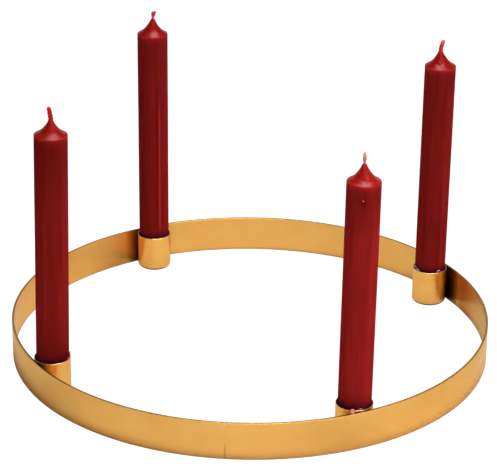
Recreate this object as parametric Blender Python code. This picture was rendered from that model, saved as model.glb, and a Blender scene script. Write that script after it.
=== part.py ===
"""Advent ring: a flat metal band bent to a hoop, four drawn cups inside it, and a candle in each cup.

Metres, +Z up. The origin is the centre of the ring, on the surface that it stands on, and -Y is its front.
"""
import math

import bmesh
import bpy

# Clearance between neighbouring solids
GAP = 0.0003

# Band: a strip bent the flat way into a hoop, its ends welded flush
RING_OUTER_RADIUS = 0.160
BAND_HEIGHT = 0.025
BAND_THICKNESS = 0.0015
BAND_EDGE_CHAMFER = 0.00025
BAND_SEGMENTS = 128

# Cups: drawn sheet, closed below, half a millimetre taller than the band and touching its inside
CUP_RADIUS = 0.0118
CUP_HEIGHT = 0.0255
CUP_WALL = 0.0005
CUP_FLOOR = 0.0010
CUP_CORNER_RADIUS = 0.0020
CUP_RIM_ROUND = 0.0002
CUP_SEGMENTS = 40
CUP_CENTRE_DISTANCE = RING_OUTER_RADIUS - BAND_THICKNESS - GAP - CUP_RADIUS

# Candles: standard household size, straight, with a peaked top
CANDLE_RADIUS = 0.0106
CANDLE_FOOT_CHAMFER = 0.0006
SHOULDER_ROUND = 0.0003
SHOULDER_SLOPE = 26.0
PEAK_HEIGHT = 0.0101
PEAK_RADIUS = 0.0016
PEAK_SLOPE = 67.0
CANDLE_SEGMENTS = 40

# Wicks: flat braid through the whole candle, its dipped end standing out of the peak
WICK_RADIUS = 0.0010
WICK_BORE_RADIUS = WICK_RADIUS + GAP
WICK_FOOT_INSET = 0.0010
WICK_SIDES = 10

# Faces that meet at less than this are shaded as one smooth surface
SHARP_ANGLE = math.radians(35.0)

# Each place: azimuth of the cup, the candle's length and its lean towards +X, and the wick's free end.
# A step of the free end is (sideways, up, half width, half thickness, turn in degrees) from the peak.
PLACES = {
    "right": {
        "azimuth": 30.1,
        "candle_length": 0.1842,
        "lean": 0.3,
        "wick_end": [
            (-0.0001, 0.0008, 0.00110, 0.00100, 0.0),
            (0.0000, 0.0028, 0.00115, 0.00100, 25.0),
            (0.0004, 0.0053, 0.00125, 0.00110, 55.0),
            (0.0010, 0.0073, 0.00110, 0.00100, 75.0),
            (0.0013, 0.0079, 0.00060, 0.00060, 80.0),
        ],
    },
    "back": {
        "azimuth": 118.75,
        "candle_length": 0.1869,
        "lean": 0.0,
        "wick_end": [
            (0.0001, 0.0008, 0.00080, 0.00095, 0.0),
            (0.0003, 0.0021, 0.00090, 0.00085, 10.0),
            (0.0006, 0.0038, 0.00115, 0.00075, 20.0),
            (0.0009, 0.0054, 0.00130, 0.00070, 25.0),
            (0.0010, 0.0058, 0.00095, 0.00045, 25.0),
        ],
    },
    "left": {
        "azimuth": 209.7,
        "candle_length": 0.1862,
        "lean": 1.05,
        "wick_end": [
            (0.0000, 0.0008, 0.00130, 0.00110, 0.0),
            (-0.0002, 0.0030, 0.00130, 0.00115, -20.0),
            (-0.0006, 0.0056, 0.00130, 0.00115, -45.0),
            (-0.0010, 0.0078, 0.00125, 0.00110, -60.0),
            (-0.0011, 0.0085, 0.00075, 0.00065, -65.0),
        ],
    },
    "front": {
        "azimuth": 296.4,
        "candle_length": 0.1822,
        "lean": 0.55,
        "wick_end": [
            (0.0000, 0.0008, 0.00060, 0.00095, 0.0),
            (-0.0001, 0.0024, 0.00085, 0.00085, 20.0),
            (-0.0002, 0.0043, 0.00115, 0.00080, 40.0),
            (-0.0003, 0.0066, 0.00110, 0.00075, 60.0),
            (-0.0003, 0.0078, 0.00075, 0.00045, 70.0),
        ],
    },
}

# Finishes: linear colour, roughness, metallic
GOLD_COLOUR = (0.78, 0.44, 0.12)
WAX_COLOUR = (0.20, 0.007, 0.007)
COTTON_COLOUR = (0.62, 0.06, 0.07)


def clear_scene():
    for thing in list(bpy.data.objects):
        bpy.data.objects.remove(thing, do_unlink=True)


def make_material(name, colour, roughness, metallic):
    material = bpy.data.materials.new(name)
    material.use_nodes = True
    shader = material.node_tree.nodes["Principled BSDF"]
    shader.inputs["Base Color"].default_value = (*colour, 1.0)
    shader.inputs["Roughness"].default_value = roughness
    shader.inputs["Metallic"].default_value = metallic
    return material


def arc(centre, radius, start, end, steps):
    """Profile points on an arc about centre, from one angle to another in degrees."""
    points = []
    for step in range(steps + 1):
        angle = math.radians(start + (end - start) * step / steps)
        points.append((centre[0] + radius * math.cos(angle), centre[1] + radius * math.sin(angle)))
    return points


def crossing(first, first_slope, second, second_slope):
    """Where the lines through two profile points meet; both rise towards the axis at their slope."""
    rise_a = math.tan(math.radians(first_slope))
    rise_b = math.tan(math.radians(second_slope))
    radius = (second[1] - first[1] + rise_b * second[0] - rise_a * first[0]) / (rise_b - rise_a)
    return radius, first[1] + rise_a * (first[0] - radius)


def bend(start, corner, end, steps):
    """Profile points on a curve that leaves start towards corner and arrives at end from it."""
    points = []
    for step in range(steps + 1):
        t = step / steps
        weights = ((1.0 - t) ** 2, 2.0 * t * (1.0 - t), t ** 2)
        corners = (start, corner, end)
        points.append(tuple(sum(w * p[axis] for w, p in zip(weights, corners)) for axis in (0, 1)))
    return points


def turned_mesh(name, profile, segments, material):
    """Solid of revolution about Z. The profile is a closed loop, or starts and ends on the axis."""
    build = bmesh.new()
    points = [build.verts.new((radius, 0.0, height)) for radius, height in profile]
    edges = [build.edges.new(pair) for pair in zip(points, points[1:])]
    if profile[0][0] > 0.0:
        edges.append(build.edges.new((points[-1], points[0])))
    bmesh.ops.spin(
        build,
        geom=points + edges,
        cent=(0.0, 0.0, 0.0),
        axis=(0.0, 0.0, 1.0),
        angle=2.0 * math.pi,
        steps=segments,
        use_merge=True,
        use_duplicate=False,
    )
    bmesh.ops.remove_doubles(build, verts=build.verts, dist=1e-6)
    bmesh.ops.recalc_face_normals(build, faces=build.faces)
    mesh = bpy.data.meshes.new(name)
    build.to_mesh(mesh)
    build.free()
    mesh.materials.append(material)
    mesh.shade_smooth()
    mesh.set_sharp_from_angle(angle=SHARP_ANGLE)
    return mesh


def place(name, mesh, location=(0.0, 0.0, 0.0), parent=None):
    thing = bpy.data.objects.new(name, mesh)
    thing.location = location
    thing.parent = parent
    bpy.context.scene.collection.objects.link(thing)
    return thing


def band_profile():
    """The strip's section, with its four edges broken by a small chamfer."""
    outer = RING_OUTER_RADIUS
    inner = RING_OUTER_RADIUS - BAND_THICKNESS
    chamfer = BAND_EDGE_CHAMFER
    return [
        (outer - chamfer, 0.0),
        (outer, chamfer),
        (outer, BAND_HEIGHT - chamfer),
        (outer - chamfer, BAND_HEIGHT),
        (inner + chamfer, BAND_HEIGHT),
        (inner, BAND_HEIGHT - chamfer),
        (inner, chamfer),
        (inner + chamfer, 0.0),
    ]


def cup_profile():
    """Half section of a cup: underside, outer corner, wall, rolled rim, inside corner and floor."""
    corner = CUP_RADIUS - CUP_CORNER_RADIUS
    rim = CUP_HEIGHT - CUP_RIM_ROUND
    inner_corner_radius = CUP_CORNER_RADIUS - CUP_WALL
    inner_rim = CUP_RADIUS - CUP_WALL + CUP_RIM_ROUND
    profile = [(0.0, 0.0)]
    profile += arc((corner, CUP_CORNER_RADIUS), CUP_CORNER_RADIUS, -90.0, 0.0, 3)
    profile += arc((CUP_RADIUS - CUP_RIM_ROUND, rim), CUP_RIM_ROUND, 0.0, 90.0, 2)
    profile += arc((inner_rim, rim), CUP_RIM_ROUND, 90.0, 180.0, 2)
    profile += arc((corner, CUP_FLOOR + inner_corner_radius), inner_corner_radius, 0.0, -90.0, 2)
    profile.append((0.0, CUP_FLOOR))
    return profile


def candle_profile(length):
    """Half section of a candle's wax, from the bore at its foot up the side and over the peak."""
    shoulder = length - PEAK_HEIGHT
    side = [
        (WICK_BORE_RADIUS, 0.0),
        (CANDLE_RADIUS - CANDLE_FOOT_CHAMFER, 0.0),
        (CANDLE_RADIUS, CANDLE_FOOT_CHAMFER),
    ]
    shoulder_centre = (CANDLE_RADIUS - SHOULDER_ROUND, shoulder)
    rounding = arc(shoulder_centre, SHOULDER_ROUND, 0.0, 90.0 - SHOULDER_SLOPE, 3)
    top = (PEAK_RADIUS, length)
    corner = crossing(rounding[-1], SHOULDER_SLOPE, top, PEAK_SLOPE)
    flare = bend(rounding[-1], corner, top, 6)
    return side + rounding + flare[1:] + [(WICK_BORE_RADIUS, length)]


def wick_mesh(name, length, free_end, material):
    """Flattened tube: round and straight inside the wax, then through the steps of its free end."""
    stations = [
        (0.0, WICK_FOOT_INSET, WICK_RADIUS, WICK_RADIUS, 0.0),
        (0.0, length - PEAK_HEIGHT, WICK_RADIUS, WICK_RADIUS, 0.0),
        (0.0, length, WICK_RADIUS, WICK_RADIUS, 0.0),
    ]
    stations += [(side, length + up, width, depth, turn) for side, up, width, depth, turn in free_end]
    build = bmesh.new()
    rings = []
    for side, height, width, depth, turn in stations:
        twist = math.radians(turn)
        ring = []
        for index in range(WICK_SIDES):
            angle = 2.0 * math.pi * index / WICK_SIDES
            across = width * math.cos(angle)
            along = depth * math.sin(angle)
            x = side + across * math.cos(twist) - along * math.sin(twist)
            y = across * math.sin(twist) + along * math.cos(twist)
            ring.append(build.verts.new((x, y, height)))
        rings.append(ring)
    for lower, upper in zip(rings, rings[1:]):
        for index in range(WICK_SIDES):
            following = (index + 1) % WICK_SIDES
            build.faces.new((lower[index], lower[following], upper[following], upper[index]))
    build.faces.new(reversed(rings[0]))
    build.faces.new(rings[-1])
    mesh = bpy.data.meshes.new(name)
    build.to_mesh(mesh)
    build.free()
    mesh.materials.append(material)
    mesh.shade_smooth()
    mesh.set_sharp_from_angle(angle=SHARP_ANGLE)
    return mesh


def make_band(gold):
    return place("ring_band", turned_mesh("ring_band", band_profile(), BAND_SEGMENTS, gold))


def make_cup(name, azimuth, cup_mesh):
    angle = math.radians(azimuth)
    location = (CUP_CENTRE_DISTANCE * math.cos(angle), CUP_CENTRE_DISTANCE * math.sin(angle), 0.0)
    return place(f"candle_cup_{name}", cup_mesh, location)


def make_candle(name, spec, cup, wax):
    """The candle stands on the cup's floor; a leaning one pivots about the middle of the cup's depth."""
    lean = math.radians(spec["lean"])
    lift = CUP_FLOOR + GAP + CANDLE_RADIUS * math.sin(lean)
    shift = -math.sin(lean) * CUP_HEIGHT / 2.0
    mesh = turned_mesh(f"candle_{name}", candle_profile(spec["candle_length"]), CANDLE_SEGMENTS, wax)
    candle = place(f"candle_{name}", mesh, (shift, 0.0, lift), cup)
    candle.rotation_euler = (0.0, lean, 0.0)
    return candle


def make_wick(name, spec, candle, cotton):
    mesh = wick_mesh(f"wick_{name}", spec["candle_length"], spec["wick_end"], cotton)
    return place(f"wick_{name}", mesh, parent=candle)


def main():
    clear_scene()
    gold = make_material("satin_gold", GOLD_COLOUR, roughness=0.38, metallic=1.0)
    wax = make_material("red_wax", WAX_COLOUR, roughness=0.42, metallic=0.0)
    cotton = make_material("dipped_cotton", COTTON_COLOUR, roughness=0.55, metallic=0.0)
    make_band(gold)
    cup_mesh = turned_mesh("candle_cup", cup_profile(), CUP_SEGMENTS, gold)
    for name, spec in PLACES.items():
        cup = make_cup(name, spec["azimuth"], cup_mesh)
        candle = make_candle(name, spec, cup, wax)
        make_wick(name, spec, candle, cotton)


main()
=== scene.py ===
import math

import bmesh
import bpy
from mathutils import Matrix, Vector, noise


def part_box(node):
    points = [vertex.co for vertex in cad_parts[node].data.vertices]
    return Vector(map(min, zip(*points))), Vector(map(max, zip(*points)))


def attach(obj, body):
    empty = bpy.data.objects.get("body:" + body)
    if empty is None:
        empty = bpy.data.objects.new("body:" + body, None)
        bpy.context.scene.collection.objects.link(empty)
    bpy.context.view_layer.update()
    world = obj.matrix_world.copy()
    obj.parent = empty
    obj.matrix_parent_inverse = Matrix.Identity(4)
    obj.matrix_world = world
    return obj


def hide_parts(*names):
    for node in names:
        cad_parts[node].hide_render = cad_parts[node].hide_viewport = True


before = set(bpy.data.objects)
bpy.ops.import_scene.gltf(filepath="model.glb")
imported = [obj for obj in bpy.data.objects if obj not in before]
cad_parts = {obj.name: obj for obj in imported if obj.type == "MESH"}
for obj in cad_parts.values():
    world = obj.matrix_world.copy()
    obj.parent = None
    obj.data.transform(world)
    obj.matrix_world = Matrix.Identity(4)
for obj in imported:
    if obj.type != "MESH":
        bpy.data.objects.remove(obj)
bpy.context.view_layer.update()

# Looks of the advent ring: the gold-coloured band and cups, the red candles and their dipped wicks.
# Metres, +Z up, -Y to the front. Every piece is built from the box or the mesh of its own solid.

PLACES = ("right", "back", "left", "front")
UP = Vector((0.0, 0.0, 1.0))

# Camera: where it stands, how far it looks down and rolls in degrees, and its lens and sensor in millimetres
CAMERA_PLACE = (-0.0016, -1.3204, 0.6561)
CAMERA_LOOKS_DOWN = 23.505
CAMERA_ROLL = 0.5895
CAMERA_LENS = 156.9
SENSOR_WIDTH = 36.0

# Band: sheared strip with softly rounded edges, BAND_INSET inside its solid. EDGE_SHADE_START is how far up
# the rounding its upper edge takes on a darker gold, painted shade.
BAND_THICKNESS = 0.0015
BAND_EDGE_ROUND = 0.00012
EDGE_SHADE_START = 0.00005
BAND_INSET = 0.00002
BAND_STEPS = 360
BAND_EDGE_STEPS = 4
BAND_WALL_STEPS = 14

# Weld that closes the band at the front: a groove that is open and dark up to SEAM_OPEN_HEIGHT, shallower
# above it, with a nick at the upper edge
SEAM_AZIMUTH = 264.7
SEAM_WIDTH = 0.0006
SEAM_DEPTH = 0.00025
SEAM_SHARPNESS = 4.0
SEAM_STEPS = 12
SEAM_OPEN_HEIGHT = 0.0085
SEAM_OPEN_FADE = (0.8 * SEAM_OPEN_HEIGHT, 1.2 * SEAM_OPEN_HEIGHT)
SEAM_SHALLOW = 0.25
SEAM_TOP_NICK = 0.0016
SEAM_TOP_SINK = 0.0005
SEAM_DARK_WIDTH = 0.0004

# Cups: drawn sheet with a fully rounded lip, CUP_INSET inside their solids. The lip carries a painted
# highlight from LIP_HIGHLIGHT_BELOW up to LIP_HIGHLIGHT_ABOVE, both measured down from its height.
CUP_LIP_HEIGHT = 0.0255
CUP_WALL = 0.0005
CUP_FLOOR = 0.0010
CUP_CORNER_ROUND = {"right": 0.0021, "back": 0.0030, "left": 0.0022, "front": 0.0022}
CUP_INNER_CORNER_ROUND = 0.0015
CUP_STEPS = 96
CUP_INSET = 0.00002
LIP_HIGHLIGHT_BELOW = 0.0005
LIP_HIGHLIGHT_ABOVE = 0.0001

# Braze between cup and band, sunk a little into both, narrower towards its two ends
BRAZE_HALF_WIDTH = 0.0021
BRAZE_SINK = 0.00006
BRAZE_LOW = 0.0020
BRAZE_HIGH = 0.0228
BRAZE_END_SHARE = 0.12
BRAZE_ROWS = 10
BRAZE_SIDE_STEPS = 4

# Painted shade where each cup and the band close in on each other at their joint: how far from the middle of
# each joint along the band, how far round the cup in degrees, and up to which height on the cup
JOINT_SHADE_REACH = {"right": 0.0195, "back": 0.0148, "left": 0.0160, "front": 0.0160}
JOINT_SHADE_STRENGTH = 0.90
JOINT_SHADE_CUP_REACH = 42.0
JOINT_SHADE_CUP_TOP = 0.019
JOINT_SHADE_CUP_FADE = 0.004

# Painted reflection, brown, of the shaded floor and cup beside each joint on the band's inner side, as
# (side, how strong). Seen from above, side 1 lies anticlockwise and side -1 clockwise. It rises and fades at
# shares of
# BROWN_REFLECTION_REACH and is stronger below BROWN_TOP.
BROWN_REFLECTION = {"right": (-1.0, 0.80), "back": (1.0, 0.22), "left": (1.0, 0.22), "front": (-1.0, 0.22)}
BROWN_REFLECTION_REACH = 0.050
BROWN_RISE = (0.0, 0.3)
BROWN_FADE = (0.5, 1.1)
BROWN_TOP = 0.0066
BROWN_AT_FOOT = 0.30

# Candles: the profile of the wax, from the foot to the collar round the wick, and its steps. The top has its
# own, brighter material, painted light from above, from TOP_WAX_START of the shoulder's rounding down. The
# side turns to a painted shade from FOOT_SHADE_TOP down to the cup's lip, and a painted glow of light makes
# it paler just below the shoulder.
CANDLE_RADIUS = 0.0106
CANDLE_FOOT_ROUND = 0.0006
SHOULDER_SLOPE = 26.0
PEAK_RADIUS = 0.0015
PEAK_SLOPE = 67.0
COLLAR_HEIGHT = 0.0008
COLLAR_RADIUS = 0.0008
CANDLE_STEPS = 216
CANDLE_SIDE_ROWS = 90
SHOULDER_STEPS = 10
PEAK_STEPS = 44
TOP_WAX_START = 0.8
FOOT_SHADE_TOP = 0.0315
SHOULDER_PAINTED_GLOW = 0.85
SHOULDER_PAINTED_GLOW_DEPTH = 0.0021

# Heights of the rings of points that give a candle's foot and top, from its lowest and highest point
FOOT_RINGS = 0.002
TOP_RINGS = 0.0002

# Unevenness of the wax, as (how close round the candle, how close along it, depth), and how close its lumps
# stand round the peak
DRAWN_LINES = (7.0, 6.0, 0.000035)
SWELLS = (1.2, 22.0, 0.00006)
LUMPS_ROUND = 2.3

# Wicks: a flat plait of cotton under wax. Between the two distances of WICK_TIP from its end it turns to the
# colour of its tip.
WICK_SINK = 0.0030
WICK_STEPS = 24
WICK_ROWS = 56
PLAIT_PITCH = 0.0021
PLAIT_DEPTH = 0.00016
PLAIT_LAG = 1.6
WICK_TIP = (0.0050, 0.0015)

# Floor, and a sky of pale screens that fades to black between two heights of the direction's Z
FLOOR_SIZE = 30.0
FLOOR_GLOW = 1.1
FLOOR_COLOUR = 0.55
FLOOR_ROUGHNESS = 0.9
FLOOR_DROP = 0.0002
SCREEN_COLOUR = (0.93, 0.93, 0.93)
SCREEN_FADE = (0.24, 0.44)

# Lamps: each as (place, size, power in watts); all of them are aimed at one place
LAMPS_AIM = (0.0, 0.0, 0.1)
LAMPS = {
    "overhead": ((0.14, 0.16, 1.6), (0.8, 0.7), 34.5),
    "front": ((0.25, -1.15, 0.85), (0.7, 0.5), 4.0),
    "low_front": ((0.10, -1.40, 0.24), (0.8, 0.3), 6.2),
    "low_right": ((0.95, -0.95, 0.24), (0.8, 0.3), 4.0),
    "near_right": ((0.37, -0.40, 0.65), (0.35, 0.35), 1.4),
}

# Gold-coloured metal: the tint of its sheen, and its colours for the painted highlight on the cups' lips,
# the painted contact shade at its foot, the painted brown reflection beside the joints, and the dark of the
# weld's groove and of the painted shade at the joints
SHEEN_TINT = (0.85, 0.80, 0.68)
LIP_HIGHLIGHT_GOLD = (0.92, 0.58, 0.25)
CONTACT_SHADE_GOLD = (0.12, 0.045, 0.012)
BROWN_GOLD = (0.52, 0.160, 0.034)
SEAM_AND_JOINT_SHADE_GOLD = (0.054, 0.028, 0.016)

# Each kind of gold: its two mixed colours, its roughness, how close its grain is along X, Y and Z, and the
# height below which it takes a painted contact shade
GOLDS = {
    "strip_gold": {
        "light": (0.80, 0.434, 0.111),
        "deep": (0.76, 0.396, 0.096),
        "roughness": (0.308, 0.315),
        "grain": (14.0, 14.0, 1100.0),
        "contact_shade_below": 0.0004,
    },
    # painted shade: the band's upper edge, darker than its sides
    "shaded_edge_gold": {
        "light": (0.68, 0.365, 0.100),
        "deep": (0.63, 0.330, 0.088),
        "roughness": (0.34, 0.38),
        "grain": (60.0, 60.0, 2600.0),
        "contact_shade_below": 0.0004,
    },
    "cup_gold": {
        "light": (0.89, 0.478, 0.116),
        "deep": (0.85, 0.432, 0.100),
        "roughness": (0.26, 0.34),
        "grain": (60.0, 60.0, 2600.0),
        "contact_shade_below": 0.0020,
    },
}

# Wax: light, middle and deep colour on the sides and on the tops, the tops' brighter as painted light from
# above; its colour where its tone is pale or dark, which carries drawn lines and painted light and shade;
# and the painted shade at its foot. MOTTLE_TINT turns the middle colour into that of the mottles.
SIDE_COLOURS = ((0.196, 0.0090, 0.0070), (0.141, 0.0062, 0.0048), (0.097, 0.0046, 0.0036))
TOP_COLOURS = ((0.300, 0.0048, 0.0030), (0.232, 0.0034, 0.0021), (0.176, 0.0026, 0.0017))
PALE_WAX = (0.280, 0.0150, 0.0130)
DARK_WAX = (0.056, 0.0025, 0.0022)
FOOT_SHADE_WAX = (0.034, 0.0020, 0.0080)
MOTTLE_TINT = (0.92, 0.95, 2.2)
SIDE_LOOK = {"colours": SIDE_COLOURS, "roughness": (0.45, 0.55), "glow": 0.0100}
TOP_LOOK = {"colours": TOP_COLOURS, "roughness": (0.29, 0.38), "glow": 0.0040}

# Wicks, each as (material, light colour, deep colour, colour of its tip)
WICK_LOOKS = {
    "right": ("wick_red_pink", (0.45, 0.022, 0.026), (0.20, 0.004, 0.006), (0.46, 0.040, 0.050)),
    "back": ("wick_magenta", (0.44, 0.080, 0.092), (0.30, 0.036, 0.046), (0.36, 0.016, 0.042)),
    "left": ("wick_red", (0.44, 0.003, 0.006), (0.25, 0.0012, 0.0018), (0.37, 0.002, 0.005)),
    "front": ("wick_salmon", (0.45, 0.115, 0.108), (0.35, 0.064, 0.060), (0.50, 0.180, 0.168)),
}

# Scraps and specks of wax, each as (material, light colour, deep colour, gloss)
SCRAP_LOOKS = {
    "right": ("shaving_pink", (0.80, 0.46, 0.50), (0.52, 0.16, 0.22), 0.5),
    "left": ("shaving_crimson", (0.36, 0.003, 0.022), (0.20, 0.002, 0.010), 0.2),
    "front": ("drop_pink", (0.64, 0.26, 0.22), (0.44, 0.07, 0.09), 0.3),
}
SPECK_LOOKS = {
    "pale": ("speck_pale", (0.90, 0.36, 0.32), (0.80, 0.26, 0.24), 0.5),
    # painted shadow: dark specks under the pale one
    "dark": ("speck_painted_shadow", (0.020, 0.0004, 0.0004), (0.012, 0.0002, 0.0002), 0.0),
}

# Patterns, each as how often per metre it changes along X, Y and Z
STAIN_SCALE = (38.0, 38.0, 55.0)
STREAK_SCALE = (620.0, 620.0, 26.0)
CLOUD_SCALE = (90.0, 90.0, 60.0)
MOTTLE_SCALE = (330.0, 330.0, 210.0)
THREAD_SCALE = (1500.0, 1500.0, 900.0)
SCRAP_SCALE = (1900.0, 1900.0, 1900.0)

# How the patterns stand out of the surface, as (distance, strength)
GOLD_BUMP = (0.00002, 0.02)
WAX_BUMP = (0.00004, 0.5)
COTTON_BUMP = (0.00006, 0.6)


# Meshes

def arc(centre, radius, start, end, steps):
    """Profile points on an arc about centre, from one angle to another in degrees."""
    points = []
    for step in range(steps + 1):
        angle = math.radians(start + (end - start) * step / steps)
        points.append((centre[0] + radius * math.cos(angle), centre[1] + radius * math.sin(angle)))
    return points


def bend(start, corner, end, steps):
    """Profile points on a curve that leaves start towards corner and arrives at end from it."""
    points = []
    for step in range(steps + 1):
        t = step / steps
        weights = ((1.0 - t) ** 2, 2.0 * t * (1.0 - t), t ** 2)
        corners = (start, corner, end)
        points.append(tuple(sum(w * p[axis] for w, p in zip(weights, corners)) for axis in (0, 1)))
    return points


def crossing(first, first_slope, second, second_slope):
    """Where the lines through two profile points meet; both rise towards the axis at their slope."""
    rise_a = math.tan(math.radians(first_slope))
    rise_b = math.tan(math.radians(second_slope))
    radius = (second[1] - first[1] + rise_b * second[0] - rise_a * first[0]) / (rise_b - rise_a)
    return radius, first[1] + rise_a * (first[0] - radius)


def line(start, end, steps):
    """Profile points on a straight line, without its first point."""
    ratios = [(step + 1) / steps for step in range(steps)]
    return [tuple(a + (b - a) * ratio for a, b in zip(start, end)) for ratio in ratios]


def add_skin(build, rings, looped=False):
    """Closed surface over rings of points; looped rings meet their first again, others end in caps."""
    rows = [[build.verts.new(point) for point in ring] for ring in rings]
    pairs = list(zip(rows, rows[1:]))
    if looped:
        pairs.append((rows[-1], rows[0]))
    for lower, upper in pairs:
        for index, (a, b) in enumerate(zip(lower, upper)):
            following = (index + 1) % len(lower)
            build.faces.new((a, lower[following], upper[following], b))
    if not looped:
        for row, order in ((rows[0], -1), (rows[-1], 1)):
            middle = build.verts.new(sum((vert.co for vert in row), Vector()) / len(row))
            for a, b in zip(row, row[1:] + row[:1]):
                build.faces.new((a, b, middle)[::order])


def finish_mesh(name, build):
    """The built surface as a smooth mesh, its faces turned outwards."""
    bmesh.ops.recalc_face_normals(build, faces=build.faces)
    mesh = bpy.data.meshes.new(name)
    build.to_mesh(mesh)
    build.free()
    mesh.shade_smooth()
    return mesh


def skin(name, rings, looped=False):
    """A mesh of one closed surface."""
    build = bmesh.new()
    add_skin(build, rings, looped)
    return finish_mesh(name, build)


def write_tone(mesh, tones):
    """Stores a value for each point of the mesh, which its material reads."""
    layer = mesh.attributes.new("tone", "FLOAT", "POINT")
    for value, tone in zip(layer.data, tones):
        value.value = tone


def show(name, mesh, materials, replaced=()):
    """Makes the piece, gives it its materials, and lets it stand for its solids."""
    piece = bpy.data.objects.new(name, mesh)
    bpy.context.scene.collection.objects.link(piece)
    for material in materials:
        mesh.materials.append(material)
    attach(piece, "root")
    if replaced:
        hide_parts(*replaced)


def smooth_step(value, low, high):
    """0 below low, 1 above high, and a smooth rise between them."""
    t = min(1.0, max(0.0, (value - low) / (high - low)))
    return t * t * (3.0 - 2.0 * t)


def turn_from(start, angle, whole=360.0):
    """The shorter way from one angle to another, below 0 if it is clockwise."""
    return (angle - start + whole / 2.0) % whole - whole / 2.0


def spoke(angle):
    """The level direction at an angle in radians."""
    return Vector((math.cos(angle), math.sin(angle), 0.0))


# Places, read from the solids

def cup_place(place):
    """A cup's axis on the floor, its radius and its height."""
    low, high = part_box(f"candle_cup_{place}")
    centre = Vector(((low.x + high.x) / 2.0, (low.y + high.y) / 2.0, low.z))
    return centre, (high.x - low.x) / 2.0, high.z - low.z


def candle_axis(place):
    """A candle's foot, its direction and its length, from the rings of points at both ends."""
    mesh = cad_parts[f"candle_{place}"].data
    places = {tuple(round(value, 6) for value in vert.co) for vert in mesh.vertices}
    points = [Vector(point) for point in places]
    lowest = min(point.z for point in points)
    highest = max(point.z for point in points)
    near_foot = [point for point in points if point.z < lowest + FOOT_RINGS]
    near_top = [point for point in points if point.z > highest - TOP_RINGS]
    foot = sum(near_foot, Vector()) / len(near_foot)
    top = sum(near_top, Vector()) / len(near_top)
    direction = (top - foot).normalized()
    foot += direction * ((lowest - foot.z) / direction.z)
    return foot, direction, (top - foot).length


# Materials

def add_node(tree, kind, **values):
    """A shader node with its settings and its unlinked inputs."""
    node = tree.nodes.new(kind)
    for key, value in values.items():
        if key in node.bl_rna.properties:
            setattr(node, key, value)
        else:
            node.inputs[key].default_value = value
    return node


def new_material(name):
    """A material with its node tree and its shader."""
    material = bpy.data.materials.new(name)
    material.use_nodes = True
    tree = material.node_tree
    return material, tree, tree.nodes["Principled BSDF"]


def pattern(tree, scale, detail, roughness):
    """Noise in the part's own coordinates, at its scale, with its detail and its roughness."""
    place = add_node(tree, "ShaderNodeTexCoord")
    mapping = add_node(tree, "ShaderNodeMapping")
    mapping.inputs["Scale"].default_value = scale
    texture = add_node(tree, "ShaderNodeTexNoise", Scale=1.0, Detail=detail, Roughness=roughness)
    tree.links.new(place.outputs["Object"], mapping.inputs["Vector"])
    tree.links.new(mapping.outputs["Vector"], texture.inputs["Vector"])
    return texture.outputs["Fac"]


def spread(tree, value, low, high, to_low=0.0, to_high=1.0):
    """A value from one range taken to another."""
    node = add_node(tree, "ShaderNodeMapRange")
    for key, number in (("From Min", low), ("From Max", high), ("To Min", to_low), ("To Max", to_high)):
        node.inputs[key].default_value = number
    tree.links.new(value, node.inputs["Value"])
    return node.outputs["Result"]


def blend_colours(tree, factor, first, second):
    """A mix of two colours, each a plain colour or the output of another node."""
    node = add_node(tree, "ShaderNodeMix", data_type="RGBA")
    tree.links.new(factor, node.inputs["Factor"])
    for name, colour in (("A", first), ("B", second)):
        socket = [entry for entry in node.inputs if entry.name == name and entry.type == "RGBA"][0]
        if isinstance(colour, tuple):
            socket.default_value = (*colour, 1.0)
        else:
            tree.links.new(colour, socket)
    return [entry for entry in node.outputs if entry.type == "RGBA"][0]


def add_bump(tree, shader, height, distance, strength):
    """Lets a pattern stand out of the surface."""
    node = add_node(tree, "ShaderNodeBump", Strength=strength, Distance=distance)
    tree.links.new(height, node.inputs["Height"])
    tree.links.new(node.outputs["Normal"], shader.inputs["Normal"])


def height_of(tree):
    """The height above the floor."""
    place = add_node(tree, "ShaderNodeTexCoord")
    parts = add_node(tree, "ShaderNodeSeparateXYZ")
    tree.links.new(place.outputs["Object"], parts.inputs["Vector"])
    return parts.outputs["Z"]


def tone_of(tree):
    """The value stored with the points of the mesh."""
    return add_node(tree, "ShaderNodeAttribute", attribute_name="tone").outputs["Fac"]


def gold(name, light, deep, roughness, grain, contact_shade_below):
    """Satin gold-coloured metal: grained, faintly stained, with a painted contact shade at its foot and a
    painted highlight on the cups' lips.

    A tone above 0 darkens it, for the weld's dark groove and for painted shade at the joints, and one below
    0 turns it brown, a painted reflection beside the joints.
    """
    material, tree, shader = new_material(name)
    shader.inputs["Metallic"].default_value = 1.0
    shader.inputs["Specular Tint"].default_value = (*SHEEN_TINT, 1.0)
    stains = spread(tree, pattern(tree, STAIN_SCALE, 4.0, 0.6), 0.35, 0.68)
    clean = blend_colours(tree, stains, light, deep)
    # painted highlight along the cups' lips
    lit_from, lit_to = CUP_LIP_HEIGHT - LIP_HIGHLIGHT_BELOW, CUP_LIP_HEIGHT - LIP_HIGHLIGHT_ABOVE
    lip_lit = spread(tree, height_of(tree), lit_from, lit_to)
    lip_highlighted = blend_colours(tree, lip_lit, clean, LIP_HIGHLIGHT_GOLD)
    # painted contact shade near the floor
    above_foot = spread(tree, height_of(tree), 0.5 * contact_shade_below, contact_shade_below)
    contact_shaded = blend_colours(tree, above_foot, CONTACT_SHADE_GOLD, lip_highlighted)
    tone = tone_of(tree)
    brown_reflected = blend_colours(tree, spread(tree, tone, 0.0, -1.0), contact_shaded, BROWN_GOLD)
    shaded_at_joints = blend_colours(tree, spread(tree, tone, 0.0, 1.0), brown_reflected, SEAM_AND_JOINT_SHADE_GOLD)
    tree.links.new(shaded_at_joints, shader.inputs["Base Color"])
    lines = pattern(tree, grain, 3.0, 0.6)
    tree.links.new(spread(tree, lines, 0.3, 0.7, *roughness), shader.inputs["Roughness"])
    add_bump(tree, shader, lines, *GOLD_BUMP)
    return material


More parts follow.
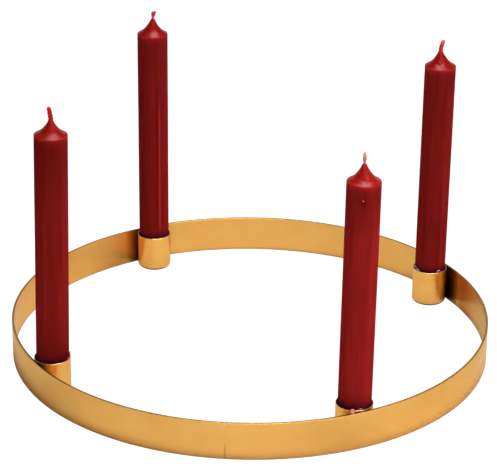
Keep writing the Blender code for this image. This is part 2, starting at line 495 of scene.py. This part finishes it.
def wax(name, colours, strength, gloss, roughness, glow):
    """Dark red candle wax with drawn lines, clouds and mottles, and a painted shade, plum-coloured, at its
    foot.

    A tone above 0 makes it paler, for drawn lines and painted light, and one below 0 darker, for drawn lines
    and painted shade. Strength brightens its colours.
    """
    material, tree, shader = new_material(name)
    streaks = spread(tree, pattern(tree, STREAK_SCALE, 3.0, 0.55), 0.32, 0.68)
    clouds = spread(tree, pattern(tree, CLOUD_SCALE, 3.0, 0.6), 0.3, 0.7)
    mottles = spread(tree, pattern(tree, MOTTLE_SCALE, 2.0, 0.6), 0.45, 0.75, 0.0, 0.55)
    light, middle, deep = (tuple(strength * value for value in colour) for colour in colours)
    drawn = blend_colours(tree, streaks, deep, light)
    cloudy = blend_colours(tree, spread(tree, clouds, 0.0, 1.0, 0.1, 0.8), drawn, middle)
    plum = tuple(share * value for share, value in zip(MOTTLE_TINT, middle))
    plain = blend_colours(tree, mottles, cloudy, plum)
    tone = tone_of(tree)
    paler = blend_colours(tree, spread(tree, tone, 0.0, 1.0), plain, PALE_WAX)
    lined = blend_colours(tree, spread(tree, tone, 0.0, -1.0), paler, DARK_WAX)
    # painted shade at the foot, above the cup's lip
    foot = spread(tree, height_of(tree), FOOT_SHADE_TOP, CUP_LIP_HEIGHT)
    colour = blend_colours(tree, foot, lined, FOOT_SHADE_WAX)
    tree.links.new(colour, shader.inputs["Base Color"])
    tree.links.new(spread(tree, clouds, 0.0, 1.0, *roughness), shader.inputs["Roughness"])
    shader.inputs["Specular IOR Level"].default_value = gloss
    shader.inputs["Subsurface Weight"].default_value = 1.0
    shader.inputs["Subsurface Radius"].default_value = (glow, 0.0015, 0.0012)
    shader.inputs["Subsurface Scale"].default_value = 1.0
    add_bump(tree, shader, streaks, *WAX_BUMP)
    return material


def dipped_cotton(name, light, deep, tip):
    """Cotton soaked with red wax, lighter and deeper by its threads, with its own colour at the tip."""
    material, tree, shader = new_material(name)
    threads = spread(tree, pattern(tree, THREAD_SCALE, 3.0, 0.6), 0.3, 0.7)
    below = blend_colours(tree, threads, light, deep)
    tree.links.new(blend_colours(tree, tone_of(tree), below, tip), shader.inputs["Base Color"])
    shader.inputs["Roughness"].default_value = 0.5
    shader.inputs["Specular IOR Level"].default_value = 0.1
    add_bump(tree, shader, threads, *COTTON_BUMP)
    return material


def scraped_wax(name, light, deep, gloss):
    """Wax in shavings, drops and specks."""
    material, tree, shader = new_material(name)
    grains = spread(tree, pattern(tree, SCRAP_SCALE, 2.0, 0.5), 0.3, 0.7)
    tree.links.new(blend_colours(tree, grains, light, deep), shader.inputs["Base Color"])
    shader.inputs["Roughness"].default_value = 0.4
    shader.inputs["Specular IOR Level"].default_value = gloss
    return material


# Band

def band_section(height, radius_outer):
    """The strip's section as (radius, height) points, its four edges rounded."""
    inner = radius_outer - BAND_THICKNESS
    r = BAND_EDGE_ROUND
    section = arc((radius_outer - r, r), r, -90.0, 0.0, BAND_EDGE_STEPS)
    section += line(section[-1], (radius_outer, height - r), BAND_WALL_STEPS)[:-1]
    section += arc((radius_outer - r, height - r), r, 0.0, 90.0, BAND_EDGE_STEPS)
    section += arc((inner + r, height - r), r, 90.0, 180.0, BAND_EDGE_STEPS)
    section += line(section[-1], (inner, r), BAND_WALL_STEPS)[:-1]
    section += arc((inner + r, r), r, 180.0, 270.0, BAND_EDGE_STEPS)
    return section


def band_azimuths(radius):
    """Even steps round the ring, with closer ones across the weld."""
    half = math.degrees(1.5 * SEAM_WIDTH / radius)
    fine = [SEAM_AZIMUTH - half + 2.0 * half * step / SEAM_STEPS for step in range(SEAM_STEPS + 1)]
    coarse = [SEAM_AZIMUTH + 360.0 * step / BAND_STEPS for step in range(1, BAND_STEPS)]
    return fine + [azimuth for azimuth in coarse if half < azimuth - SEAM_AZIMUTH < 360.0 - half]


def joint_tone(place, past, height):
    """The strip's tone at a distance past a joint: painted shade near it, a painted brown reflection beyond
    it on one side.
    """
    # painted shade near the joint
    joint_shade = JOINT_SHADE_STRENGTH * math.exp(-(abs(past) / JOINT_SHADE_REACH[place]) ** 3)
    # painted brown reflection beside the joint, on one side
    side, strength = BROWN_REFLECTION[place]
    along = max(0.0, past * side) / BROWN_REFLECTION_REACH
    low = 1.0 - smooth_step(height, 0.4 * BROWN_TOP, BROWN_TOP)
    brown = (strength + BROWN_AT_FOOT * low) * smooth_step(along, *BROWN_RISE)
    brown *= 1.0 - smooth_step(along, *BROWN_FADE)
    return joint_shade - brown * (1.0 - joint_shade) ** 3


def band_tone(point, radius, joints):
    """The strip's tone: that of its joints on the inner side, and of the open weld on the outer side."""
    azimuth = math.atan2(point.y, point.x)
    reach = math.hypot(point.x, point.y)
    tone = 0.0
    if reach < radius - 0.9 * BAND_THICKNESS:
        for place, joint in joints.items():
            tone += joint_tone(place, turn_from(joint, azimuth, math.tau) * reach, point.z)
    elif reach > radius - 0.1 * BAND_THICKNESS:
        away = abs(turn_from(math.radians(SEAM_AZIMUTH), azimuth, math.tau)) * reach
        low = 1.0 - smooth_step(point.z, *SEAM_OPEN_FADE)
        tone = low * math.exp(-(away / SEAM_DARK_WIDTH) ** 2)
    return tone


def make_band(strip_gold, shaded_edge_gold):
    """The strip bent to a hoop, with the groove of its weld."""
    low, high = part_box("ring_band")
    radius = high.x - BAND_INSET
    height = high.z - low.z
    section = band_section(height, radius)
    rings = []
    for azimuth in band_azimuths(radius):
        away = turn_from(SEAM_AZIMUTH, azimuth)
        across = math.radians(away) * radius / SEAM_WIDTH
        groove = SEAM_DEPTH * math.exp(-SEAM_SHARPNESS * across * across)
        angle = math.radians(azimuth)
        ring = []
        for r, z in section:
            share = SEAM_SHALLOW + (1.0 - SEAM_SHALLOW) * (1.0 - smooth_step(z, *SEAM_OPEN_FADE))
            share = max(share, smooth_step(z, height - SEAM_TOP_NICK, height))
            depth = groove * share
            r += -depth if r > radius - BAND_THICKNESS / 2.0 else depth
            z -= depth * smooth_step(z, height - SEAM_TOP_SINK, height)
            ring.append(Vector((r * math.cos(angle), r * math.sin(angle), z)))
        rings.append(ring)
    mesh = skin("ring_band_strip", rings, looped=True)
    joints = {}
    for place in PLACES:
        centre, _, _ = cup_place(place)
        joints[place] = math.atan2(centre.y, centre.x)
    write_tone(mesh, [band_tone(vert.co, radius, joints) for vert in mesh.vertices])
    # the upper edge takes the darker gold of painted shade
    for polygon in mesh.polygons:
        polygon.material_index = int(polygon.center.z > height - BAND_EDGE_ROUND + EDGE_SHADE_START)
    show("ring_band_strip", mesh, [strip_gold, shaded_edge_gold], ["ring_band"])


# Cups

def cup_section(radius, height, corner_round):
    """Half section of a cup: underside, corner, wall, lip, inner corner and floor."""
    lip = CUP_WALL / 2.0
    corner = radius - corner_round
    inner = radius - CUP_WALL
    inner_corner = (inner - CUP_INNER_CORNER_ROUND, CUP_FLOOR + CUP_INNER_CORNER_ROUND)
    section = line((0.0, 0.0), (corner, 0.0), 4)[:-1]
    section += arc((corner, corner_round), corner_round, -90.0, 0.0, 10)
    section += line(section[-1], (radius, height - lip), 14)[:-1]
    section += arc((radius - lip, height - lip), lip, 0.0, 180.0, 12)
    section += line(section[-1], (inner, inner_corner[1]), 10)[:-1]
    section += arc(inner_corner, CUP_INNER_CORNER_ROUND, 0.0, -90.0, 5)
    section += line(section[-1], (0.002, CUP_FLOOR), 3)
    return section


def make_cup(place, material):
    """One cup, turned about its axis, with painted shade on the side of its joint."""
    centre, radius, height = cup_place(place)
    rings = []
    for r, z in cup_section(radius - CUP_INSET, height, CUP_CORNER_ROUND[place]):
        ring = []
        for step in range(CUP_STEPS):
            angle = 2.0 * math.pi * step / CUP_STEPS
            ring.append(centre + Vector((r * math.cos(angle), r * math.sin(angle), z)))
        rings.append(ring)
    name = f"cup_{place}_shell"
    mesh = skin(name, rings)
    outward = math.atan2(centre.y, centre.x)
    tones = []
    for vert in mesh.vertices:
        offset = vert.co - centre
        away = turn_from(0.0, math.degrees(math.atan2(offset.y, offset.x) - outward))
        reach = math.hypot(offset.x, offset.y)
        on_wall = smooth_step(reach, radius - 0.7 * CUP_WALL, radius - 0.3 * CUP_WALL)
        # painted shade on the cup's wall where it faces the band
        low = 1.0 - smooth_step(offset.z, JOINT_SHADE_CUP_TOP - JOINT_SHADE_CUP_FADE, JOINT_SHADE_CUP_TOP)
        tones.append(low * on_wall * JOINT_SHADE_STRENGTH * math.exp(-(abs(away) / JOINT_SHADE_CUP_REACH) ** 3))
    write_tone(mesh, tones)
    show(name, mesh, [material], [f"candle_cup_{place}"])


def make_braze(place, band_inner_radius, material):
    """The joint that fills the narrow gap between a cup's back and the band."""
    centre, radius, _ = cup_place(place)
    azimuth = math.atan2(centre.y, centre.x)
    outward = spoke(azimuth)
    sideways = Vector((-math.sin(azimuth), math.cos(azimuth), 0.0))
    distance = Vector((centre.x, centre.y, 0.0)).length
    rings = []
    for row in range(BRAZE_ROWS + 1):
        height = BRAZE_LOW + (BRAZE_HIGH - BRAZE_LOW) * row / BRAZE_ROWS
        rounding = 1.0 - (2.0 * row / BRAZE_ROWS - 1.0) ** 6
        half = BRAZE_HALF_WIDTH * math.sqrt(max(BRAZE_END_SHARE, rounding))
        offsets = [half * (step / BRAZE_SIDE_STEPS - 1.0) for step in range(2 * BRAZE_SIDE_STEPS + 1)]
        ring = []
        for offset in offsets:
            reach = distance + math.sqrt(radius ** 2 - offset ** 2) - BRAZE_SINK
            ring.append(outward * reach + sideways * offset + UP * height)
        for offset in reversed(offsets):
            reach = math.sqrt(band_inner_radius ** 2 - offset ** 2) + BRAZE_SINK
            ring.append(outward * reach + sideways * offset + UP * height)
        rings.append(ring)
    name = f"cup_{place}_braze"
    show(name, skin(name, rings), [material])


# Candles

# Each candle's own top: how far the peak stands off the axis, how far it rises above the side, how high and
# how close the lumps of its slope are, its shoulder's rounding, and its noise's start
TOPS = {
    "right": {
        "off": -0.00035,
        "peak": 0.0101,
        "lumps": 0.00034,
        "close": 800.0,
        "shoulder": 0.00035,
        "seed": 3.0,
    },
    "back": {
        "off": 0.00030,
        "peak": 0.0101,
        "lumps": 0.00010,
        "close": 420.0,
        "shoulder": 0.00035,
        "seed": 11.0,
    },
    "left": {
        "off": 0.00010,
        "peak": 0.0093,
        "lumps": 0.00012,
        "close": 420.0,
        "shoulder": 0.00035,
        "seed": 19.0,
    },
    "front": {
        "off": -0.00020,
        "peak": 0.0098,
        "lumps": 0.00026,
        "close": 560.0,
        "shoulder": 0.00100,
        "seed": 27.0,
    },
}


def candle_section(length, top):
    """Half section of the wax from the foot up its side, over the shoulder and up to the wick."""
    side_top = length - top["peak"]
    rounding = top["shoulder"]
    foot = CANDLE_RADIUS - CANDLE_FOOT_ROUND
    section = line((0.0, 0.0), (foot, 0.0), 3)[:-1]
    section += arc((foot, CANDLE_FOOT_ROUND), CANDLE_FOOT_ROUND, -90.0, 0.0, 4)
    section += line(section[-1], (CANDLE_RADIUS, side_top - rounding), CANDLE_SIDE_ROWS)[:-1]
    centre = (CANDLE_RADIUS - rounding, side_top - rounding)
    shoulder = arc(centre, rounding, 0.0, 90.0 - SHOULDER_SLOPE, SHOULDER_STEPS)
    tip = (PEAK_RADIUS, length)
    flare = bend(shoulder[-1], crossing(shoulder[-1], SHOULDER_SLOPE, tip, PEAK_SLOPE), tip, PEAK_STEPS)
    collar_top = (COLLAR_RADIUS, length + COLLAR_HEIGHT)
    collar = bend(tip, (PEAK_RADIUS * 0.75, length + COLLAR_HEIGHT * 0.6), collar_top, 4)
    return section + shoulder + flare[1:] + collar[1:]


def ripple(outward, close, along):
    """A value of the noise that closes round the candle."""
    return noise.noise(Vector((outward.x * close, outward.y * close, along)))


def candle_point(r, z, angle, length, top):
    """A point of the wax in the candle's own frame, with its drawn lines and the lumps of its peak."""
    side_top = length - top["peak"]
    outward = spoke(angle)
    drawn_round, drawn_along, drawn_depth = DRAWN_LINES
    swell_round, swell_along, swell_depth = SWELLS
    drawn = ripple(outward, drawn_round, z * drawn_along + top["seed"])
    swell = ripple(outward, swell_round, z * swell_along - top["seed"])
    on_side = 1.0 - smooth_step(z, side_top - 0.001, side_top + 0.002)
    r += on_side * (drawn_depth * drawn + swell_depth * swell) * smooth_step(r, 0.005, 0.0098)
    on_peak = smooth_step(z, side_top, side_top + 0.002) * (1.0 - smooth_step(z, length - 0.003, length))
    lump = ripple(outward, LUMPS_ROUND, z * top["close"] + top["seed"])
    shift = top["off"] * smooth_step(z, side_top, length) ** 1.5
    point = outward * r
    return Vector((point.x + shift, point.y, z + on_peak * top["lumps"] * lump))


def upright_frame(foot, direction):
    """Turns the candle's own upright frame into place, about the foot."""
    return Matrix.Translation(foot) @ UP.rotation_difference(direction).to_matrix().to_4x4()


# Painted shade on each peak: where its red is palest, facing the front, in degrees, and how much deeper the
# painted shade makes it round its flanks and back, over FLANK_TURN degrees to both sides. Towards the tip it
# stays pale, over FLANK_TIP.
FLANK_SHADE = {"right": (274.0, 0.48), "back": (284.0, 0.62), "left": (282.0, 0.45), "front": (279.0, 0.28)}
FLANK_TURN = 48.0
FLANK_TIP = 0.004

# What each side shows: drawn lines as (angle, width in degrees, tone, from height, to height), of which the
# back candle's pale line is a painted highlight, and how dark it grows towards its shoulder and, as painted
# shade, towards the cup, each as (tone, over what length). A line comes up over LINE_RISE at its foot and
# fades over LINE_FADE at its top.
LINE_RISE = 0.010
LINE_FADE = 0.030
SIDES = {
    "right": {
        "lines": [
            (292.0, 5.0, -0.45, 0.026, 0.110),
            (306.0, 4.0, 0.25, 0.026, 0.120),
            (232.0, 6.0, -0.25, 0.026, 0.160),
        ],
        "to_shoulder": (-0.17, 0.016),
        "painted_shade_to_cup": (0.0, 0.01),
    },
    "back": {
        "lines": [
            # painted highlight: a pale line of light reflected down the back candle's side
            (296.5, 3.4, 1.25, 0.026, 0.140),
            (287.0, 5.0, -0.35, 0.026, 0.160),
            (225.0, 16.0, -0.30, 0.026, 0.172),
        ],
        "to_shoulder": (-0.20, 0.014),
        "painted_shade_to_cup": (0.0, 0.01),
    },
    "left": {
        "lines": [
            (252.0, 5.0, 0.25, 0.030, 0.150),
            (322.0, 8.0, 0.20, 0.030, 0.172),
        ],
        "to_shoulder": (-0.42, 0.034),
        "painted_shade_to_cup": (-0.45, 0.018),
    },
    "front": {
        "lines": [
            (262.0, 6.0, 0.12, 0.030, 0.165),
            (312.0, 8.0, 0.25, 0.030, 0.172),
            (236.0, 8.0, 0.15, 0.030, 0.165),
        ],
        "to_shoulder": (-0.38, 0.027),
        "painted_shade_to_cup": (-0.40, 0.006),
    },
}


def side_tone(place, angle, height, shoulder):
    """The side's tone: its drawn lines, its darker ends, the lower one painted shade towards the cup, and a
    painted glow of light under its shoulder.
    """
    side = SIDES[place]
    below = max(0.0, shoulder - height)
    # painted light: a glow under the shoulder, where light comes through the wax from the top
    tone = SHOULDER_PAINTED_GLOW * math.exp(-below / SHOULDER_PAINTED_GLOW_DEPTH)
    tone += side["to_shoulder"][0] * math.exp(-(below / side["to_shoulder"][1]) ** 2)
    # painted shade towards the cup
    tone += side["painted_shade_to_cup"][0] * math.exp(-(max(0.0, height - CUP_LIP_HEIGHT) / side["painted_shade_to_cup"][1]) ** 2)
    for centre, width, strength, low, high in side["lines"]:
        away = turn_from(centre, math.degrees(angle))
        along = smooth_step(height, low, low + LINE_RISE)
        along *= 1.0 - smooth_step(height, high - LINE_FADE, high)
        tone += strength * along * math.exp(-(away / width) ** 2)
    return tone


def top_tone(place, angle, height, length):
    """The peak's tone: a painted shade, deeper away from its lit front."""
    lit_front, depth = FLANK_SHADE[place]
    away = turn_from(lit_front, math.degrees(angle))
    below_tip = smooth_step(length - height, 0.0, FLANK_TIP)
    return -depth * below_tip * (1.0 - math.exp(-(away / FLANK_TURN) ** 2))


def make_candle(place, side_wax, top_wax):
    """One candle's wax, with its own, brighter material above the shoulder, painted light from above."""
    foot, direction, length = candle_axis(place)
    to_world = upright_frame(foot, direction)
    rings = []
    for r, z in candle_section(length, TOPS[place]):
        angles = [2.0 * math.pi * step / CANDLE_STEPS for step in range(CANDLE_STEPS)]
        rings.append([to_world @ candle_point(r, z, angle, length, TOPS[place]) for angle in angles])
    name = f"candle_{place}_wax"
    mesh = skin(name, rings)
    to_candle = to_world.inverted()
    own_places = [to_candle @ vert.co for vert in mesh.vertices]
    shoulder = length - TOPS[place]["peak"] - TOP_WAX_START * TOPS[place]["shoulder"]
    tones = []
    for point in own_places:
        angle = math.atan2(point.y, point.x)
        if point.z < shoulder + 0.0001:
            tones.append(side_tone(place, angle, point.z, shoulder))
        else:
            tones.append(top_tone(place, angle, point.z, length))
    write_tone(mesh, tones)
    for polygon in mesh.polygons:
        height = sum(own_places[index].z for index in polygon.vertices) / len(polygon.vertices)
        polygon.material_index = int(height > shoulder)
    show(name, mesh, [side_wax, top_wax], [f"candle_{place}"])


# Wicks

# Steps of each free end as (sideways, up, half width, half thickness, turn in degrees) from the peak
WICK_ENDS = {
    "right": [
        (-0.0003, -WICK_SINK, 0.00118, 0.00107, 0.0),
        (-0.0003, 0.0000, 0.00143, 0.00127, 5.0),
        (-0.0003, 0.0014, 0.00147, 0.00134, 15.0),
        (0.0000, 0.0032, 0.00150, 0.00134, 30.0),
        (0.0005, 0.0053, 0.00156, 0.00140, 50.0),
        (0.0010, 0.0070, 0.00143, 0.00134, 70.0),
        (0.0013, 0.0077, 0.00085, 0.00080, 80.0),
    ],
    "back": [
        (0.00030, -WICK_SINK, 0.00084, 0.00087, 0.0),
        (0.00030, 0.0000, 0.00089, 0.00100, 0.0),
        (0.0004, 0.0012, 0.00089, 0.00107, 5.0),
        (0.0006, 0.0026, 0.00122, 0.00100, 12.0),
        (0.0008, 0.0041, 0.00160, 0.00093, 20.0),
        (0.0010, 0.0053, 0.00173, 0.00087, 25.0),
        (0.0011, 0.00578, 0.00133, 0.00060, 25.0),
    ],
    "left": [
        (0.0001, -WICK_SINK, 0.00116, 0.00112, 0.0),
        (0.0001, 0.0000, 0.00146, 0.00138, -4.0),
        (0.0001, 0.0014, 0.00156, 0.00140, -10.0),
        (-0.0002, 0.0034, 0.00153, 0.00140, -24.0),
        (-0.0006, 0.0056, 0.00153, 0.00138, -42.0),
        (-0.0009, 0.0076, 0.00146, 0.00131, -58.0),
        (-0.0011, 0.0084, 0.00092, 0.00081, -65.0),
    ],
    "front": [
        (-0.00020, -WICK_SINK, 0.00068, 0.00068, 0.0),
        (-0.00020, 0.0000, 0.00071, 0.00091, 5.0),
        (-0.0002, 0.0012, 0.00068, 0.00097, 12.0),
        (-0.0002, 0.0028, 0.00108, 0.00091, 25.0),
        (-0.0002, 0.0046, 0.00137, 0.00085, 42.0),
        (-0.0003, 0.0066, 0.00120, 0.00080, 60.0),
        (-0.0003, 0.0078, 0.00068, 0.00051, 70.0),
    ],
}


def between(steps, share):
    """A smooth value along the wick's steps, each step a tuple of numbers."""
    place = share * (len(steps) - 1)
    index = min(int(place), len(steps) - 2)
    t = place - index
    near = [steps[min(max(index + offset, 0), len(steps) - 1)] for offset in (-1, 0, 1, 2)]
    values = []
    for a, b, c, d in zip(*near):
        curve = 2.0 * a - 5.0 * b + 4.0 * c - d + t * (3.0 * (b - c) + d - a)
        values.append(b + 0.5 * t * (c - a + t * curve))
    return values


def wick_ring(side, height, width, depth, turn, along):
    """A section of the plait: its strands swell left and right in turn."""
    twist = math.radians(turn)
    ring = []
    for step in range(WICK_STEPS):
        angle = 2.0 * math.pi * step / WICK_STEPS
        half_turn = math.pi if math.cos(angle) > 0.0 else 0.0
        phase = 2.0 * math.pi * along / PLAIT_PITCH + half_turn + PLAIT_LAG * abs(math.cos(angle))
        swell = PLAIT_DEPTH * math.sin(phase) * min(1.0, 2.0 * abs(math.cos(angle)))
        across = (width + swell) * math.cos(angle)
        deep = (depth + swell) * math.sin(angle)
        x = side + across * math.cos(twist) - deep * math.sin(twist)
        y = across * math.sin(twist) + deep * math.cos(twist)
        ring.append(Vector((x, y, height)))
    return ring


def make_wick(place, material):
    """One wick, from inside the peak to its free end."""
    foot, direction, length = candle_axis(place)
    to_world = upright_frame(foot, direction)
    rings = []
    for row in range(WICK_ROWS + 1):
        side, up, width, depth, turn = between(WICK_ENDS[place], row / WICK_ROWS)
        rings.append([to_world @ point for point in wick_ring(side, length + up, width, depth, turn, up)])
    name = f"wick_{place}_plait"
    mesh = skin(name, rings)
    top = max(vert.co.z for vert in mesh.vertices)
    tip_from, tip_to = top - WICK_TIP[0], top - WICK_TIP[1]
    write_tone(mesh, [smooth_step(vert.co.z, tip_from, tip_to) for vert in mesh.vertices])
    show(name, mesh, [material], [f"wick_{place}"])


# Scraps of wax

# Wax scraped off on the rims, in thin curled shavings: four steps of each as (distance from the cup's axis,
# angle, height), and its half height and half thickness
SHAVINGS = {
    "right": [
        (
            ((0.0113, 184, 0.0257), (0.0112, 190, 0.0266), (0.0108, 198, 0.0272), (0.0112, 208, 0.0268)),
            (0.00032, 0.00014),
        ),
        (
            ((0.0112, 208, 0.0268), (0.0114, 214, 0.0261), (0.0113, 220, 0.0264), (0.0115, 226, 0.0257)),
            (0.00026, 0.00014),
        ),
        (
            ((0.0112, 292, 0.0259), (0.0110, 297, 0.0268), (0.0111, 302, 0.0268), (0.0114, 308, 0.0257)),
            (0.00030, 0.00016),
        ),
    ],
    "left": [
        (
            ((0.0113, 20, 0.0262), (0.0114, 4, 0.0270), (0.0114, -12, 0.0265), (0.0113, -28, 0.0258)),
            (0.00090, 0.00022),
        ),
        (
            ((0.0113, 14, 0.0273), (0.0115, 6, 0.0282), (0.0115, -2, 0.0278), (0.0113, -10, 0.0268)),
            (0.00050, 0.00018),
        ),
    ],
    "front": [
        (
            ((0.0112, 278, 0.0257), (0.0111, 284, 0.0263), (0.0112, 291, 0.0263), (0.0114, 297, 0.0257)),
            (0.00024, 0.00014),
        ),
    ],
}
SHAVING_ROWS = 24
SHAVING_STEPS = 10
SHAVING_END_SHARE = 0.3

# Drops of wax: each as (distance from the cup's axis, angle, height of its middle, half size along X, Y, Z)
DROPS = {"front": [(0.0134, 262.5, 0.0257, (0.0016, 0.0014, 0.0018))]}

# Specks stuck to a candle's side: each as (angle, height, half size, pale or dark). The dark ones are
# painted shadow below the pale one, whose paler wax is brightened into a painted glint.
SPECKS = {
    "front": [
        (267.0, 0.1633, 0.00036, "pale"),
        (266.3, 0.1617, 0.00050, "dark"),
        (269.8, 0.1602, 0.00042, "dark"),
    ],
}

# Lumps: how uneven they are, how close, and what sets one lump's noise apart from another's
LUMP_DEPTH = 0.3
LUMP_CLOSE = 1.7
LUMP_SEED = 900.0


def shaving_rings(centre, steps, half_height, half_thickness):
    """Sections of a thin strip of wax that is bent along its steps and tapers to both ends."""
    rings = []
    for row in range(SHAVING_ROWS + 1):
        share = row / SHAVING_ROWS
        distance, angle, height = between(steps, share)
        outward = spoke(math.radians(angle))
        middle = centre + outward * distance + UP * height
        taper = SHAVING_END_SHARE + (1.0 - SHAVING_END_SHARE) * math.sin(math.pi * share)
        ring = []
        for step in range(SHAVING_STEPS):
            around = 2.0 * math.pi * step / SHAVING_STEPS
            across = outward * (half_thickness * math.cos(around))
            ring.append(middle + across + UP * (half_height * taper * math.sin(around)))
        rings.append(ring)
    return rings


def add_lump(build, middle, size):
    """An uneven little ball of wax."""
    made = bmesh.ops.create_icosphere(build, subdivisions=3, radius=1.0)
    for vert in made["verts"]:
        bumpy = 1.0 + LUMP_DEPTH * noise.noise(vert.co * LUMP_CLOSE + middle * LUMP_SEED)
        vert.co = middle + Vector(tuple(a * b for a, b in zip(vert.co * bumpy, size)))


def make_scraps(place, material):
    """The shavings and drops of wax on one cup's rim."""
    centre, _, _ = cup_place(place)
    build = bmesh.new()
    for steps, (half_height, half_thickness) in SHAVINGS[place]:
        add_skin(build, shaving_rings(centre, steps, half_height, half_thickness))
    for distance, angle, height, size in DROPS.get(place, ()):
        turn = math.radians(angle)
        offset = Vector((distance * math.cos(turn), distance * math.sin(turn), height))
        add_lump(build, centre + offset, size)
    name = f"wax_scraps_{place}"
    show(name, finish_mesh(name, build), [material])


def make_specks(place, materials):
    """Tiny crumbs of wax half sunk in a candle's side, and dark ones that are painted shadow below them."""
    foot, direction, _ = candle_axis(place)
    to_world = upright_frame(foot, direction)
    for index, (angle, height, size, shade) in enumerate(SPECKS[place]):
        turn = math.radians(angle)
        spot = Vector((CANDLE_RADIUS * math.cos(turn), CANDLE_RADIUS * math.sin(turn), height))
        build = bmesh.new()
        add_lump(build, to_world @ spot, (size, 0.5 * size, size))
        name = f"wax_speck_{place}_{index}"
        show(name, finish_mesh(name, build), [materials[shade]])


# Stage

def make_floor(name, height, colour, glow):
    """One wide level sheet: a matt surface that may also give off an even white light."""
    mesh = bpy.data.meshes.new(name)
    half = FLOOR_SIZE / 2.0
    corners = [(-half, -half, height), (half, -half, height), (half, half, height), (-half, half, height)]
    mesh.from_pydata(corners, [], [(0, 1, 2, 3)])
    sheet = bpy.data.objects.new(name, mesh)
    bpy.context.scene.collection.objects.link(sheet)
    material, _, shader = new_material(name)
    shader.inputs["Base Color"].default_value = (colour, colour, colour, 1.0)
    shader.inputs["Roughness"].default_value = FLOOR_ROUGHNESS
    shader.inputs["Specular IOR Level"].default_value = 0.0
    shader.inputs["Emission Color"].default_value = (1.0, 1.0, 1.0, 1.0)
    shader.inputs["Emission Strength"].default_value = glow
    mesh.materials.append(material)
    return sheet


def make_floors():
    """A pale table that lights the ring from below, and what shows in its stead, a pure white sheet."""
    table = make_floor("pale_table", 0.0, FLOOR_COLOUR, 0.0)
    table.visible_camera = False
    backdrop = make_floor("white_cut_out", -FLOOR_DROP, 0.0, FLOOR_GLOW)
    backdrop.visible_diffuse = False
    backdrop.visible_glossy = False


def make_world():
    """Soft sky: pale screens all round, up to about a quarter of the way to the zenith, and black above."""
    world = bpy.data.worlds.new("studio")
    bpy.context.scene.world = world
    world.use_nodes = True
    tree = world.node_tree
    background = tree.nodes["Background"]
    direction = add_node(tree, "ShaderNodeTexCoord")
    parts = add_node(tree, "ShaderNodeSeparateXYZ")
    tree.links.new(direction.outputs["Generated"], parts.inputs["Vector"])
    level = spread(tree, parts.outputs["Z"], *SCREEN_FADE)
    colour = blend_colours(tree, level, SCREEN_COLOUR, (0.0, 0.0, 0.0))
    tree.links.new(colour, background.inputs["Color"])


def add_softbox(name, place, size, power):
    """A lamp with a flat rectangular face."""
    light = bpy.data.lights.new(name, "AREA")
    light.shape = "RECTANGLE"
    light.size, light.size_y = size
    light.energy = power
    lamp = bpy.data.objects.new(name, light)
    bpy.context.scene.collection.objects.link(lamp)
    lamp.location = place
    lamp.rotation_euler = (Vector(LAMPS_AIM) - Vector(place)).to_track_quat("-Z", "Y").to_euler()


def make_camera():
    """The camera as it stood for the photo, fitted to the ring, the cups and the candles."""
    camera = bpy.data.cameras.new("camera")
    camera.sensor_fit = "HORIZONTAL"
    camera.sensor_width = SENSOR_WIDTH
    camera.lens = CAMERA_LENS
    camera.clip_end = 100.0
    holder = bpy.data.objects.new("camera", camera)
    bpy.context.scene.collection.objects.link(holder)
    tilt = Matrix.Rotation(math.radians(90.0 - CAMERA_LOOKS_DOWN), 4, "X")
    roll = Matrix.Rotation(math.radians(CAMERA_ROLL), 4, "Z")
    holder.matrix_world = Matrix.Translation(CAMERA_PLACE) @ tilt @ roll
    bpy.context.scene.camera = holder


def main():
    make_camera()
    make_world()
    make_floors()
    for name, lamp in LAMPS.items():
        add_softbox(name, *lamp)
    bpy.context.scene.view_settings.view_transform = "Standard"

    golds = {name: gold(name, **look) for name, look in GOLDS.items()}
    # The tops' wax and the front candle's wax are brighter copies of the one red wax: painted light.
    side_waxes = dict.fromkeys(PLACES, wax("red_wax_side", strength=1.03, gloss=0.0, **SIDE_LOOK))
    side_waxes["front"] = wax("red_wax_front_side_painted_light", strength=1.28, gloss=0.0, **SIDE_LOOK)
    top_waxes = dict.fromkeys(PLACES, wax("red_wax_top_painted_light", strength=0.93, gloss=0.105, **TOP_LOOK))
    top_waxes["front"] = wax("red_wax_front_top_painted_light", strength=1.12, gloss=0.12, **TOP_LOOK)
    cottons = {place: dipped_cotton(*look) for place, look in WICK_LOOKS.items()}
    scraps = {place: scraped_wax(*look) for place, look in SCRAP_LOOKS.items()}
    specks = {shade: scraped_wax(*look) for shade, look in SPECK_LOOKS.items()}

    make_band(golds["strip_gold"], golds["shaded_edge_gold"])
    band_inner_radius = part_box("ring_band")[1].x - BAND_THICKNESS
    for place in PLACES:
        make_cup(place, golds["cup_gold"])
        make_braze(place, band_inner_radius, golds["cup_gold"])
        make_candle(place, side_waxes[place], top_waxes[place])
        make_wick(place, cottons[place])
        if place in SHAVINGS:
            make_scraps(place, scraps[place])
        if place in SPECKS:
            make_specks(place, specks)


main()
